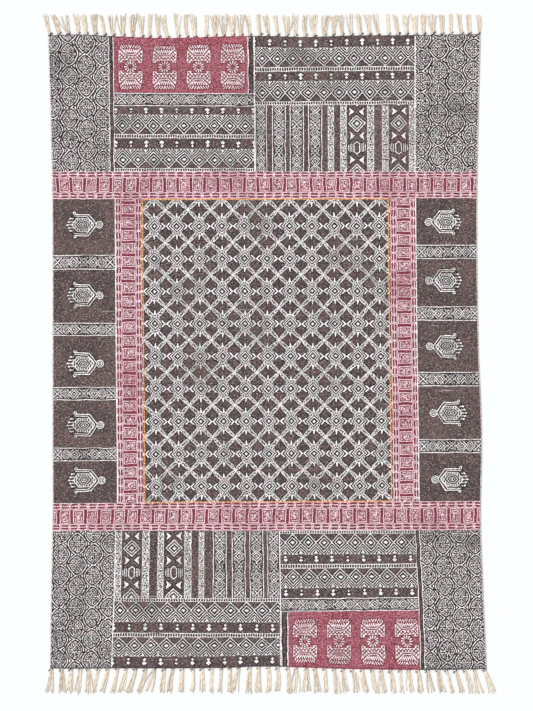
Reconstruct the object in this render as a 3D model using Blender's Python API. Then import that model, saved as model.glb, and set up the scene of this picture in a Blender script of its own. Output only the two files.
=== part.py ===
"""A flat-woven cotton dhurrie rug with a knotted fringe at both ends, lying flat.

+X runs across the rug, +Y along it and +Z up. The underside of everything is on z = 0.
The cloth is one slab with the uneven edges of a hand-woven piece. Each end has its fringe in one
piece: a narrow strip along the cloth's edge, a row of knots on it, and three locks out of each knot.
Positions are worked out from the middle of the cloth. An empty that carries the three pieces then
puts the middle of the whole rug, fringes included, over the origin.
"""

import math
import random
from collections import namedtuple

import bmesh
import bpy

# Driving dimensions, in metres.
CLOTH_THICKNESS = 0.003
CUT_GAP = 0.0003
STRIP_WIDTH = 0.0025
STRIP_HEIGHT = 0.003
KNOT_NECK = 0.0046
KNOT_WIDTH = 0.0085
KNOT_END_WIDTH = 0.0077
KNOT_HEIGHT = 0.0052
KNOT_WAIST = 0.0029
KNOT_LENGTH = 0.0065
LOCK_WIDTH = 0.0027
LOCK_HEIGHT = 0.0032
LOCK_TIP_HEIGHT = 0.0022
LOCK_SPREAD = 0.0046

# How many of each.
LOCKS_PER_KNOT = 3
LOCK_LENGTHS = 3
SIDE_POINTS = 24
END_POINTS = 44

# How uneven the hand-made fringe is. A knot's place varies by a share of the pitch, a tip's place
# and a lock's bow by a distance, and its spread and length between two shares of the usual one.
PITCH_PLAY = 0.11
LEAN_PLAY = 0.002
BOW_PLAY = 0.0025
SPREAD_RANGE = (0.8, 1.15)
LENGTH_RANGE = (0.95, 1.0)
SPREAD_EASE = 0.7

# The two long edges: how far each lies from the middle line, at places along the rug.
SideEdge = namedtuple("SideEdge", "along left right")
SIDE_EDGES = [
    SideEdge(-0.880, -0.600, 0.607),
    SideEdge(-0.657, -0.597, 0.598),
    SideEdge(-0.450, -0.593, 0.591),
    SideEdge(-0.229, -0.593, 0.594),
    SideEdge(0.020, -0.593, 0.585),
    SideEdge(0.283, -0.593, 0.581),
    SideEdge(0.504, -0.595, 0.582),
    SideEdge(0.698, -0.600, 0.586),
    SideEdge(0.880, -0.605, 0.590),
]

# The two short edges: where each lies along the rug, at places across it.
EndEdge = namedtuple("EndEdge", "across top bottom")
END_EDGES = [
    EndEdge(-0.610, 0.873, -0.871),
    EndEdge(-0.530, 0.876, -0.872),
    EndEdge(-0.418, 0.871, -0.871),
    EndEdge(-0.282, 0.866, -0.871),
    EndEdge(-0.133, 0.870, -0.870),
    EndEdge(-0.005, 0.872, -0.866),
    EndEdge(0.108, 0.869, -0.869),
    EndEdge(0.235, 0.873, -0.873),
    EndEdge(0.368, 0.874, -0.875),
    EndEdge(0.517, 0.876, -0.875),
    EndEdge(0.610, 0.877, -0.873),
]

# How far a tassel's tip lies to one side of its knot, at places across the rug.
Lean = namedtuple("Lean", "across top bottom")
LEANS = [
    Lean(-0.610, -0.011, -0.009),
    Lean(-0.540, -0.012, -0.003),
    Lean(-0.450, -0.004, -0.012),
    Lean(-0.360, 0.000, -0.019),
    Lean(-0.250, -0.006, -0.006),
    Lean(-0.160, 0.000, -0.003),
    Lean(-0.060, -0.008, -0.004),
    Lean(0.050, 0.000, -0.003),
    Lean(0.150, 0.001, 0.006),
    Lean(0.290, -0.008, 0.012),
    Lean(0.400, -0.001, 0.004),
    Lean(0.500, -0.003, 0.015),
    Lean(0.610, 0.002, 0.022),
]

# One fringe: its name, its column in the tables, the way it points, how many knots it has, where
# its tips lie along the rug, and the seed of its unevenness.
Fringe = namedtuple("Fringe", "name column outward knots tips seed")
FRINGES = [
    Fringe("fringe_top", "top", 1, 48, 0.935, 11),
    Fringe("fringe_bottom", "bottom", -1, 47, -0.942, 23),
]

COTTON_BROWN = (0.36, 0.31, 0.30, 1.0)
COTTON_CREAM = (0.85, 0.75, 0.60, 1.0)
COTTON_ROUGHNESS = 0.9


def between(rows, key, column, place):
    """Reads a column at a place between the rows, on a smooth curve through them."""
    places = [getattr(row, key) for row in rows]
    values = [getattr(row, column) for row in rows]
    place = min(max(place, places[0]), places[-1])
    index = max(i for i in range(len(rows) - 1) if places[i] <= place)
    share = (place - places[index]) / (places[index + 1] - places[index])
    before = values[max(index - 1, 0)]
    start, end = values[index], values[index + 1]
    after = values[min(index + 2, len(values) - 1)]
    slope_in, slope_out = (end - before) / 2, (after - start) / 2
    square, cube = share**2, share**3
    return (
        (2 * cube - 3 * square + 1) * start
        + (cube - 2 * square + share) * slope_in
        + (3 * square - 2 * cube) * end
        + (cube - square) * slope_out
    )


def side_edge(column, along):
    return between(SIDE_EDGES, "along", column, along)


def end_edge(column, across):
    return between(END_EDGES, "across", column, across)


def corner(side, end):
    """The point where a long edge of the cloth meets a short one."""
    along = end_edge(end, side_edge(side, 0.0))
    return side_edge(side, along), along


def end_points(end):
    """Points of a short edge, from the left corner to the right one."""
    left, right = corner("left", end)[0], corner("right", end)[0]
    places = [left + (right - left) * i / END_POINTS for i in range(END_POINTS + 1)]
    return [(across, end_edge(end, across)) for across in places]


def side_points(side):
    """Points of a long edge between its corners, from the bottom end to the top one."""
    low, high = corner(side, "bottom")[1], corner(side, "top")[1]
    places = [low + (high - low) * i / SIDE_POINTS for i in range(1, SIDE_POINTS)]
    return [(side_edge(side, along), along) for along in places]


def cotton(name, colour):
    made = bpy.data.materials.new(name)
    made.use_nodes = True
    shader = made.node_tree.nodes["Principled BSDF"]
    shader.inputs["Base Color"].default_value = colour
    shader.inputs["Roughness"].default_value = COTTON_ROUGHNESS
    shader.inputs["Metallic"].default_value = 0.0
    return made


def make_cloth(collection, carrier):
    """Makes the cloth from its flat outline, which is a curve filled on both sides."""
    outline = (
        end_points("bottom")
        + side_points("right")
        + end_points("top")[::-1]
        + side_points("left")[::-1]
    )
    curve = bpy.data.curves.new("cloth", "CURVE")
    curve.dimensions = "2D"
    curve.fill_mode = "BOTH"
    curve.extrude = CLOTH_THICKNESS / 2
    spline = curve.splines.new("POLY")
    spline.points.add(len(outline) - 1)
    for point, (across, along) in zip(spline.points, outline):
        point.co = (across, along, 0.0, 1.0)
    spline.use_cyclic_u = True
    curve.materials.append(cotton("cloth", COTTON_BROWN))
    cloth = bpy.data.objects.new("cloth", curve)
    cloth.location.z = CLOTH_THICKNESS / 2
    cloth.parent = carrier
    collection.objects.link(cloth)


def drawn_out(bm, face):
    """Draws one face of the body out and returns the face that is now its end."""
    return bmesh.ops.extrude_discrete_faces(bm, faces=[face])["faces"][0]


def facing(faces, direction):
    """The one of these faces that looks most nearly along x or along y in this direction."""
    for face in faces:
        face.normal_update()
    axis = 0 if direction[0] else 1
    return max(faces, key=lambda face: face.normal[axis] * direction[axis])


def strip_sides(fringe, across):
    """Where the strip's inner and outer sides lie along the rug, at one place across it."""
    inner = end_edge(fringe.column, across) + fringe.outward * CUT_GAP
    return inner, inner + fringe.outward * STRIP_WIDTH


def set_section(fringe, verts, across):
    """Moves the four corners of a section of the strip to one place across the rug."""
    inner, outer = strip_sides(fringe, across)
    middle = sum(vert.co.y for vert in verts) / len(verts)
    for vert in verts:
        is_outer = (vert.co.y - middle) * fringe.outward > 0
        vert.co.x = across
        vert.co.y = outer if is_outer else inner


def set_end(face, across, along, width, height):
    """Makes an end face an upright rectangle that stands on the floor."""
    middle = sum(vert.co.x for vert in face.verts) / len(face.verts)
    floor = min(vert.co.z for vert in face.verts)
    for vert in face.verts:
        is_top = vert.co.z - floor > CUT_GAP
        vert.co.x = across + math.copysign(width / 2, vert.co.x - middle)
        vert.co.y = along
        vert.co.z = height if is_top else 0.0


def knot_places(fringe, draw):
    """Where the knots lie across the rug: a pitch apart, give or take a little."""
    left, right = corner("left", fringe.column)[0], corner("right", fringe.column)[0]
    pitch = (right - left - KNOT_WIDTH) / (fringe.knots - 1)
    first = left + KNOT_WIDTH / 2
    places = [first + pitch * i for i in range(fringe.knots)]
    inner = [place + draw.uniform(-PITCH_PLAY, PITCH_PLAY) * pitch for place in places[1:-1]]
    return [places[0]] + inner + [places[-1]]


def make_strip(bm, fringe, places):
    """Sweeps the strip from one corner to the other and returns the face under each knot."""
    left, right = corner("left", fringe.column)[0], corner("right", fringe.column)[0]
    stations = [place + side * KNOT_NECK / 2 for place in places for side in (-1, 1)]
    bmesh.ops.create_cube(bm, size=STRIP_HEIGHT)
    for vert in bm.verts:
        vert.co.z += STRIP_HEIGHT / 2
    start = facing(bm.faces[:], (-1, 0))
    end = facing(bm.faces[:], (1, 0))
    set_section(fringe, start.verts, left)
    set_section(fringe, end.verts, stations[0])
    roots = []
    for index, station in enumerate(stations[1:] + [right]):
        end = drawn_out(bm, end)
        set_section(fringe, end.verts, station)
        is_under_knot = index % 2 == 0
        if is_under_knot:
            sides = {face for edge in end.edges for face in edge.link_faces} - {end}
            roots.append(facing(list(sides), (0, fringe.outward)))
    return roots


def make_knot(bm, fringe, root, across):
    """Makes a knot on the strip and returns where it ends and the faces that its locks leave."""
    along = strip_sides(fringe, across)[1]
    waist = drawn_out(bm, root)
    set_end(waist, across, along + fringe.outward * KNOT_WAIST, KNOT_WIDTH, KNOT_HEIGHT)
    knot = drawn_out(bm, waist)
    along = along + fringe.outward * KNOT_LENGTH
    set_end(knot, across, along, KNOT_END_WIDTH, LOCK_HEIGHT)

    # The knot's end is cut into upright bands, and every other band carries a lock.
    level = [e for e in knot.edges if abs(e.verts[0].co.z - e.verts[1].co.z) < CUT_GAP]
    cuts = 2 * LOCKS_PER_KNOT - 2
    split = bmesh.ops.subdivide_edges(bm, edges=level, cuts=cuts, use_grid_fill=True)
    faces = {face for item in split["geom_inner"] for face in getattr(item, "link_faces", [])}
    bands = [f for f in faces if all(abs(v.co.y - along) < CUT_GAP for v in f.verts)]
    bands.sort(key=lambda face: face.calc_center_median().x)
    return along, bands[::2]


def make_locks(bm, fringe, across, along, ends, draw):
    """Draws a knot's locks out, which lean and bow together and spread apart."""
    play = draw.uniform(-LEAN_PLAY, LEAN_PLAY)
    lean = between(LEANS, "across", fringe.column, across) + play
    bow = draw.uniform(-BOW_PLAY, BOW_PLAY)
    spread = LOCK_SPREAD * draw.uniform(*SPREAD_RANGE)
    length = abs(fringe.tips - along) * draw.uniform(*LENGTH_RANGE)
    for order, end in enumerate(ends):
        start = end.calc_center_median().x - across
        reach = (order - (LOCKS_PER_KNOT - 1) / 2) * spread
        own_length = length * draw.uniform(*LENGTH_RANGE)
        for step in range(1, LOCK_LENGTHS + 1):
            share = step / LOCK_LENGTHS
            middle = across + lean * share + bow * math.sin(math.pi * share)
            offset = start + (reach - start) * share**SPREAD_EASE
            height = LOCK_HEIGHT + (LOCK_TIP_HEIGHT - LOCK_HEIGHT) * share
            place = along + fringe.outward * own_length * share
            end = drawn_out(bm, end)
            set_end(end, middle + offset, place, LOCK_WIDTH, height)


def make_fringe(fringe, collection, carrier):
    draw = random.Random(fringe.seed)
    places = knot_places(fringe, draw)
    bm = bmesh.new()
    roots = make_strip(bm, fringe, places)
    for root, across in zip(roots, places):
        along, ends = make_knot(bm, fringe, root, across)
        make_locks(bm, fringe, across, along, ends, draw)
    bmesh.ops.recalc_face_normals(bm, faces=bm.faces[:])
    mesh = bpy.data.meshes.new(fringe.name)
    bm.to_mesh(mesh)
    bm.free()
    mesh.materials.append(cotton(fringe.name, COTTON_CREAM))
    made = bpy.data.objects.new(fringe.name, mesh)
    made.parent = carrier
    collection.objects.link(made)
    return made


def centre_on_origin(carrier, fringes):
    """Moves the carrier so that the middle of the rug's outline, as far as its tips, is over the origin."""
    bpy.context.view_layer.update()
    points = [fringe.matrix_world @ vert.co for fringe in fringes for vert in fringe.data.vertices]
    across = [point.x for point in points]
    along = [point.y for point in points]
    carrier.location.x = -(min(across) + max(across)) / 2
    carrier.location.y = -(min(along) + max(along)) / 2


def main():
    for thing in list(bpy.data.objects):
        bpy.data.objects.remove(thing, do_unlink=True)
    collection = bpy.data.collections.new("dhurrie_rug")
    bpy.context.scene.collection.children.link(collection)
    carrier = bpy.data.objects.new("rug_carrier", None)
    collection.objects.link(carrier)
    make_cloth(collection, carrier)
    fringes = [make_fringe(fringe, collection, carrier) for fringe in FRINGES]
    centre_on_origin(carrier, fringes)


main()
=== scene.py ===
"""The looks of the dhurrie rug: its block-printed cloth, its running stitch and its yarn fringes.

The cloth is one closed sheet. Its print is laid out as zones of a flat layout, in millimetres, and
each zone takes a material whose nodes draw that zone's pattern. A warp then carries the layout, which
is straight, to the hand-woven outline of the solids.
"""

import math
import random
from collections import namedtuple

import bpy
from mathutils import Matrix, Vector


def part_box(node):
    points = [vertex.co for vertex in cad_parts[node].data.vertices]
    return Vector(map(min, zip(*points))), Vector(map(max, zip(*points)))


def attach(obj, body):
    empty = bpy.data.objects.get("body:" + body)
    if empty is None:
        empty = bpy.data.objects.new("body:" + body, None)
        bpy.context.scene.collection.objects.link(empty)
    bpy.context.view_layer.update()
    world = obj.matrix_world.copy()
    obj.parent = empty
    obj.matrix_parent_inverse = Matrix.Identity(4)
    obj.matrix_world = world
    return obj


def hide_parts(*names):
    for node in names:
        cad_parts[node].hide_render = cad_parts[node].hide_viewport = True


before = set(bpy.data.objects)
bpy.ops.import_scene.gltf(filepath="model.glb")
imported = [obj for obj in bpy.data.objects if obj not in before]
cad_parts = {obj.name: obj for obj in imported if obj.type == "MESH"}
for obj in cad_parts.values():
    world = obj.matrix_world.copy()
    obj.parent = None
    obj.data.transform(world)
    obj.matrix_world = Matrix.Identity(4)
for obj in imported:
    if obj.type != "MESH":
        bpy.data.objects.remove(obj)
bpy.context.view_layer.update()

BODY = "root"

MM = 0.001

# The solids' own measures, repeated from the part's source. Lengths are in metres.
CLOTH_THICKNESS = 0.003
CUT_GAP = 0.0003
STRIP_WIDTH = 0.0025
KNOT_WIDTH = 0.0085
KNOT_HEIGHT = 0.0052
KNOT_LENGTH = 0.0065
LOCK_SPREAD = 0.0046
LOCKS_PER_KNOT = 3
SIDE_POINTS = 24
END_POINTS = 44
PITCH_PLAY = 0.11
LEAN_PLAY = 0.002
BOW_PLAY = 0.0025
SPREAD_RANGE = (0.8, 1.15)
LENGTH_RANGE = (0.95, 1.0)
SPREAD_EASE = 0.7

SideEdge = namedtuple("SideEdge", "along left right")
SIDE_EDGES = [
    SideEdge(-0.880, -0.600, 0.607),
    SideEdge(-0.657, -0.597, 0.598),
    SideEdge(-0.450, -0.593, 0.591),
    SideEdge(-0.229, -0.593, 0.594),
    SideEdge(0.020, -0.593, 0.585),
    SideEdge(0.283, -0.593, 0.581),
    SideEdge(0.504, -0.595, 0.582),
    SideEdge(0.698, -0.600, 0.586),
    SideEdge(0.880, -0.605, 0.590),
]

EndEdge = namedtuple("EndEdge", "across top bottom")
END_EDGES = [
    EndEdge(-0.610, 0.873, -0.871),
    EndEdge(-0.530, 0.876, -0.872),
    EndEdge(-0.418, 0.871, -0.871),
    EndEdge(-0.282, 0.866, -0.871),
    EndEdge(-0.133, 0.870, -0.870),
    EndEdge(-0.005, 0.872, -0.866),
    EndEdge(0.108, 0.869, -0.869),
    EndEdge(0.235, 0.873, -0.873),
    EndEdge(0.368, 0.874, -0.875),
    EndEdge(0.517, 0.876, -0.875),
    EndEdge(0.610, 0.877, -0.873),
]

Lean = namedtuple("Lean", "across top bottom")
LEANS = [
    Lean(-0.610, -0.011, -0.009),
    Lean(-0.540, -0.012, -0.003),
    Lean(-0.450, -0.004, -0.012),
    Lean(-0.360, 0.000, -0.019),
    Lean(-0.250, -0.006, -0.006),
    Lean(-0.160, 0.000, -0.003),
    Lean(-0.060, -0.008, -0.004),
    Lean(0.050, 0.000, -0.003),
    Lean(0.150, 0.001, 0.006),
    Lean(0.290, -0.008, 0.012),
    Lean(0.400, -0.001, 0.004),
    Lean(0.500, -0.003, 0.015),
    Lean(0.610, 0.002, 0.022),
]

Fringe = namedtuple("Fringe", "name column outward knots tips seed")
FRINGES = [
    Fringe("fringe_top", "top", 1, 48, 0.935, 11),
    Fringe("fringe_bottom", "bottom", -1, 47, -0.942, 23),
]

# The two printed lines that run the length of the rug inside its edges, in metres.
InnerLine = namedtuple("InnerLine", "along left right")
INNER_LINES = [
    InnerLine(-0.870, -0.4305, 0.4382),
    InnerLine(-0.685, -0.4240, 0.4320),
    InnerLine(-0.494, -0.4192, 0.4231),
    InnerLine(-0.409, -0.4145, 0.4217),
    InnerLine(0.006, -0.4181, 0.4161),
    InnerLine(0.421, -0.4208, 0.4120),
    InnerLine(0.504, -0.4206, 0.4106),
    InnerLine(0.872, -0.4239, 0.4106),
]

# How far the printed rows stand above a level line at the left edge, the middle and the right edge.
Rise = namedtuple("Rise", "along left middle right")
RISES = [
    Rise(-0.871, 0.0, 0.0, 0.0),
    Rise(-0.780, 0.0, -0.002, 0.003),
    Rise(-0.620, 0.0, -0.002, 0.003),
    Rise(-0.493, -0.001, 0.0, 0.001),
    Rise(-0.414, -0.003, 0.0, 0.003),
    Rise(0.000, -0.001, 0.0, 0.000),
    Rise(0.424, -0.0015, 0.0, 0.0015),
    Rise(0.4995, 0.0, 0.0, 0.0),
    Rise(0.620, 0.0, -0.002, 0.002),
    Rise(0.780, 0.0, -0.002, 0.003),
    Rise(0.871, 0.0, 0.0, 0.0),
]


def between(rows_of_table, key, column, place):
    """Reads a column at a place between the rows, on a smooth curve through them."""
    places = [getattr(row, key) for row in rows_of_table]
    values = [getattr(row, column) for row in rows_of_table]
    place = min(max(place, places[0]), places[-1])
    index = max(i for i in range(len(places) - 1) if places[i] <= place)
    share = (place - places[index]) / (places[index + 1] - places[index])
    before = values[max(index - 1, 0)]
    start, end = values[index], values[index + 1]
    after = values[min(index + 2, len(values) - 1)]
    slope_in, slope_out = (end - before) / 2, (after - start) / 2
    square, cube = share**2, share**3
    return (
        (2 * cube - 3 * square + 1) * start
        + (cube - 2 * square + share) * slope_in
        + (3 * square - 2 * cube) * end
        + (cube - square) * slope_out
    )


def side_edge(column, along):
    return between(SIDE_EDGES, "along", column, along)


def end_edge(column, across):
    return between(END_EDGES, "across", column, across)


def corner(side, end):
    """The point where a long edge of the cloth meets a short one."""
    along = end_edge(end, side_edge(side, 0.0))
    return side_edge(side, along), along


def low_corner():
    """The lowest place across and along the rug that the solid cloth's outline reaches."""
    left, right = corner("left", "bottom"), corner("right", "bottom")
    places = [left[0] + (right[0] - left[0]) * i / END_POINTS for i in range(END_POINTS + 1)]
    low = min(end_edge("bottom", place) for place in places)
    top = corner("left", "top")
    steps = [left[1] + (top[1] - left[1]) * i / SIDE_POINTS for i in range(1, SIDE_POINTS)]
    across = min([left[0], top[0]] + [side_edge("left", step) for step in steps])
    return across, low


# From the middle of the cloth, which the tables count from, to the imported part's origin.
CLOTH_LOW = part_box("cloth")[0]
SHIFT = (CLOTH_LOW.x - low_corner()[0], CLOTH_LOW.y - low_corner()[1])


def placed(across, along, height):
    """A point that the tables' measures give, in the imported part's frame."""
    return Vector((across + SHIFT[0], along + SHIFT[1], height))


# ---------------------------------------------------------------------------------------------
# The layout of the print, in millimetres.
# ---------------------------------------------------------------------------------------------

Area = namedtuple("Area", "left right low high")
Zone = namedtuple("Zone", "area pattern upright flipped start stretch tone")

END = 871.0
LEFT, RIGHT = side_edge("left", 0.0) / MM, side_edge("right", 0.0) / MM
INNER_LEFT = between(INNER_LINES, "along", "left", 0.0) / MM
INNER_RIGHT = between(INNER_LINES, "along", "right", 0.0) / MM
RED_TOP = (423.9, 499.5)
RED_BOTTOM = (-493.0, -414.3)
SELVEDGE = 2.6
LINE = 2.6
STRIP = 14.2
RED_SIDE = 73.0
FIELD_WIDTH = 689.0

# Where the field's first diamond lies from its upper left corner.
FIELD_START = (36.0, 75.0)

zones = []
tones = random.Random(5)


def columns(area, *widths):
    """Splits an area from left to right into parts of these widths, scaled to fill it."""
    scale = (area.right - area.left) / sum(widths)
    parts = []
    left = area.left
    for width in widths:
        parts.append(area._replace(left=left, right=left + width * scale))
        left = parts[-1].right
    return parts


def rows(area, *heights):
    """Splits an area from top to bottom into parts of these heights, scaled to fill it."""
    scale = (area.high - area.low) / sum(heights)
    parts = []
    high = area.high
    for height in heights:
        parts.append(area._replace(low=high - height * scale, high=high))
        high = parts[-1].low
    return parts


def zone(area, pattern, upright=False, flipped=False, start=(0.0, 0.0), stretch=1.0):
    """Lays a pattern on an area.

    An upright pattern runs from the top of the area down, and a flipped one is upside down. start is
    where the pattern's own origin lies from the area's first corner, and stretch draws its repeat out.
    """
    zones.append(Zone(area, pattern, upright, flipped, start, stretch, tones.random()))


def band_rows(parts, names, first_diamond, flipped=False):
    """Lays rows that are all on the diamond rows' pitch, each with its first diamond at a place."""
    for part, name in zip(parts, names):
        zone(part, name, flipped=flipped, start=(first_diamond[name], 0.0))


def lay_line(area, right):
    """Lays a pale line as high as an area, with its right edge at this place."""
    zone(area._replace(left=right - LINE, right=right), "line")


def lay_ends():
    """The two end bands: a corner block at each side, and a patchwork of blocks between them."""
    top = Area(LEFT, RIGHT, RED_TOP[1], END)
    bottom = Area(LEFT, RIGHT, -END, RED_BOTTOM[0])

    # The corner blocks, with a dark strip beside one of them at each end.
    zone(top._replace(right=INNER_LEFT - STRIP), "ogee", start=(8.0, 59.0))
    zone(Area(INNER_LEFT - STRIP, INNER_LEFT, top.low, top.high), "strip", upright=True)
    zone(top._replace(left=INNER_RIGHT), "ogee", start=(15.5, 71.0))
    zone(bottom._replace(right=INNER_LEFT), "ogee", start=(25.0, 20.0))
    zone(bottom._replace(left=INNER_RIGHT), "ogee", start=(16.0, 17.0))
    lay_top_patchwork(top._replace(left=INNER_LEFT, right=INNER_RIGHT))
    lay_bottom_patchwork(bottom._replace(left=INNER_LEFT, right=INNER_RIGHT))


# The widths and heights of a patchwork's blocks are in millimetres, from left to right and from top
# to bottom.


def lay_top_patchwork(area):
    left, right = columns(area, 390, 445)
    panel, lace, *row_parts = rows(left, 153, 36, 23.5, 54, 11.6, 29.3, 53.6, 9.4)
    panel, strip = columns(panel, 370, 20)
    zone(panel, "red_panel", start=(46.0, 0.0))
    zone(strip, "strip", upright=True)
    zone(lace, "lace", start=(20.0, 0.0))
    places = {"drops": 3.0, "diamond_row": 22.5, "ladder": 0.0}
    names = ["drops", "diamond_row", "ladder", "drops", "diamond_row", "ladder"]
    band_rows(row_parts, names, places)

    *row_parts, stripes = rows(right, 28.2, 52.5, 13, 25.7, 56.1, 10.5, 184)
    places = {"drops": 41.5, "diamond_row": 20.5, "ladder": 0.0}
    band_rows(row_parts, names, places)
    lay_stripes(stripes, TOP_STRIPES, figure_start=52.0, lace_start=54.0)
    lay_line(area, left.right)
    lay_line(area, INNER_RIGHT)


def lay_bottom_patchwork(area):
    left, right, strip = columns(area, 451, 370, 14)
    zone(strip, "strip", upright=True)
    stripes, *row_parts = rows(left, 183, 10.8, 56.1, 29.6, 12.4, 53.4, 30.4)
    lay_stripes(stripes, BOTTOM_STRIPES, figure_start=48.0, lace_start=24.0)
    places = {"drops": 3.0, "diamond_row": 18.0, "ladder": 0.0}
    names = ["ladder", "diamond_row", "drops", "ladder", "diamond_row", "drops"]
    band_rows(row_parts, names, places, flipped=True)

    *row_parts, lace, panel = rows(right, 8.6, 56.7, 26, 12.7, 53.9, 27.4, 37, 156)
    places = {"drops": 14.0, "diamond_row": 35.0, "ladder": 0.0}
    band_rows(row_parts, names, places, flipped=True)
    zone(lace, "lace", start=(60.0, 0.0))
    strip, panel = columns(panel, 20, 350)
    zone(strip, "strip", upright=True)
    zone(panel, "red_panel", start=(44.0, 0.0), stretch=1.04)
    lay_line(area, left.right)
    lay_line(area, area.left + LINE)


# The upright stripes of an end band, from left to right: what each shows, and how wide it is.
Stripe = namedtuple("Stripe", "pattern width")
TOP_STRIPES = [
    Stripe("lace", 33), Stripe("plain", 14), Stripe("lace", 38), Stripe("plain", 11),
    Stripe("lace", 39), Stripe("plain", 12), Stripe("lace", 39), Stripe("plain", 15.5),
    Stripe("speckle", 17), Stripe("plain", 17.5), Stripe("speckle", 17.5), Stripe("figures", 57),
    Stripe("speckle", 19), Stripe("plain", 22), Stripe("speckle", 18), Stripe("figures", 57),
    Stripe("speckle", 18),
]
BOTTOM_STRIPES = [
    Stripe("speckle", 19), Stripe("figures", 57), Stripe("speckle", 20), Stripe("plain", 22.5),
    Stripe("speckle", 17), Stripe("figures", 57), Stripe("speckle", 20), Stripe("plain", 20),
    Stripe("speckle", 15), Stripe("plain", 24), Stripe("lace", 39), Stripe("plain", 13.5),
    Stripe("lace", 38), Stripe("plain", 11), Stripe("lace", 39), Stripe("plain", 10),
    Stripe("lace", 36),
]


def lay_stripes(area, stripes, figure_start, lace_start):
    starts = {"figures": figure_start, "lace": lace_start}
    parts = columns(area, *[stripe.width for stripe in stripes])
    for part, stripe in zip(parts, stripes):
        zone(part, stripe.pattern, upright=True, start=(starts.get(stripe.pattern, 0.0), 0.0))


def lay_middle():
    """The red frame, the field inside it, and a column of figure panels at each side."""
    for low, high in (RED_TOP, RED_BOTTOM):
        zone(Area(LEFT, RIGHT, low, high), "red_band", start=(-2.0, 0.0))
    middle = Area(INNER_LEFT, INNER_RIGHT, RED_BOTTOM[1], RED_TOP[0])
    band_left, field, band_right = columns(middle, RED_SIDE, FIELD_WIDTH, RED_SIDE)
    zone(band_left, "red_band", upright=True, start=(-9.0, 0.0), stretch=1.02)
    zone(band_right, "red_band", upright=True, start=(4.5, 0.0), stretch=1.02)
    zone(field, "field", start=(FIELD_START[0], field.high - field.low - FIELD_START[1]))
    lay_line(middle, band_left.left + LINE)
    lay_line(middle, band_right.right)
    lay_side(middle._replace(left=LEFT, right=INNER_LEFT), LEFT_PANELS, facing=1)
    lay_side(middle._replace(left=INNER_RIGHT, right=RIGHT), RIGHT_PANELS, facing=-1)
    return field


# The panels of a side, from top to bottom: its height, how far its figure stands off its middle, and
# the height of the lace band below it.
Panel = namedtuple("Panel", "height figure_right figure_up band")
LEFT_PANELS = [
    Panel(154, 2, 6, 41), Panel(147, 2, 3, 36), Panel(141, 2, -6, 37), Panel(130, 2, -3, 37),
    Panel(116, 4, 5, 0),
]
RIGHT_PANELS = [
    Panel(127, -8, -1, 39), Panel(130, -9, 6, 39), Panel(141, -9, 0, 39), Panel(147, -3, -1, 39),
    Panel(133, 0, -6, 0),
]
FIGURE_HALF = (59.0, 42.0)
BAND_START = (14.0, 0.0)


def lay_side(area, panels, facing):
    """A column of plain panels, each with a figure on it and a lace band below it."""
    half_x, half_y = FIGURE_HALF
    parts = rows(area, *[height for panel in panels for height in (panel.height, panel.band)])
    for ground, band, panel in zip(parts[::2], parts[1::2], panels):
        x = (ground.left + ground.right) / 2 + panel.figure_right
        y = (ground.low + ground.high) / 2 + panel.figure_up
        zone(ground, "plain")
        figure = Area(x - half_x, x + half_x, y - half_y, y + half_y)
        zone(figure, "figure", start=FIGURE_HALF, stretch=facing)
        if panel.band:
            zone(band, "lace", start=BAND_START)


def lay_selvedges():
    for left, right in ((LEFT, LEFT + SELVEDGE), (RIGHT - SELVEDGE, RIGHT)):
        zone(Area(left, right, -END, END), "selvedge")


# ---------------------------------------------------------------------------------------------
# Arithmetic on shader nodes, for the patterns.
# ---------------------------------------------------------------------------------------------


class Field:
    """A number that varies over a surface: one output of a node, with arithmetic on it."""

    def __init__(self, tree, socket):
        self.tree = tree
        self.socket = socket

    def math(self, operation, *others, clamp=False):
        node = self.tree.nodes.new("ShaderNodeMath")
        node.operation = operation
        node.use_clamp = clamp
        for slot, value in zip(node.inputs, (self,) + others):
            give(self.tree, slot, value)
        return Field(self.tree, node.outputs[0])

    def clamped(self):
        """This number held between 0 and 1."""
        return self.math("ADD", 0.0, clamp=True)

    def __add__(self, other):
        return self.math("ADD", other)

    def __sub__(self, other):
        return self.math("SUBTRACT", other)

    def __rsub__(self, other):
        return self.math("MULTIPLY_ADD", -1.0, other)

    def __mul__(self, other):
        return self.math("MULTIPLY", other)

    def __truediv__(self, other):
        return self.math("DIVIDE", other)

    def __neg__(self):
        return self.math("MULTIPLY", -1.0)

    def __abs__(self):
        return self.math("ABSOLUTE")


def give(tree, slot, value):
    """Links a field or an output to an input, or sets the input to a constant."""
    if isinstance(value, Field):
        value = value.socket
    if isinstance(value, bpy.types.NodeSocket):
        tree.links.new(value, slot)
    else:
        slot.default_value = value


def wrap(field, period):
    """The distance to the nearest repeat, with its sign."""
    return field.math("WRAP", period / 2, -period / 2)


def fold(field, period):
    """The distance to the nearest repeat, mirrored to both sides of it."""
    return field.math("PINGPONG", period / 2)


def hypot(x, y):
    return (x * x + y * y).math("SQRT")


# A shape is the distance to its edge in millimetres, less than zero inside it.


def joined(*shapes):
    """All of these shapes."""
    whole = shapes[0]
    for shape in shapes[1:]:
        whole = whole.math("MINIMUM", shape)
    return whole


def shared(*shapes):
    """Only where all of these shapes overlap."""
    whole = shapes[0]
    for shape in shapes[1:]:
        whole = whole.math("MAXIMUM", shape)
    return whole


def without(shape, *holes):
    for hole in holes:
        shape = shape.math("MAXIMUM", -hole)
    return shape


def stripe(field, middle, half):
    """Where the field is within a half width of a middle value."""
    return abs(field - middle) - half


def stripes(field, *lines):
    """Several stripes, each given as its middle and its half width."""
    return joined(*[stripe(field, middle, half) for middle, half in lines])


def most(first, second):
    return first.math("MAXIMUM", second)


def rimmed(shape, half):
    """A line of this half width just inside a shape's edge."""
    return stripe(shape, -half, half)


def box(x, y, half_x, half_y):
    return shared(abs(x) - half_x, abs(y) - half_y)


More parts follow.
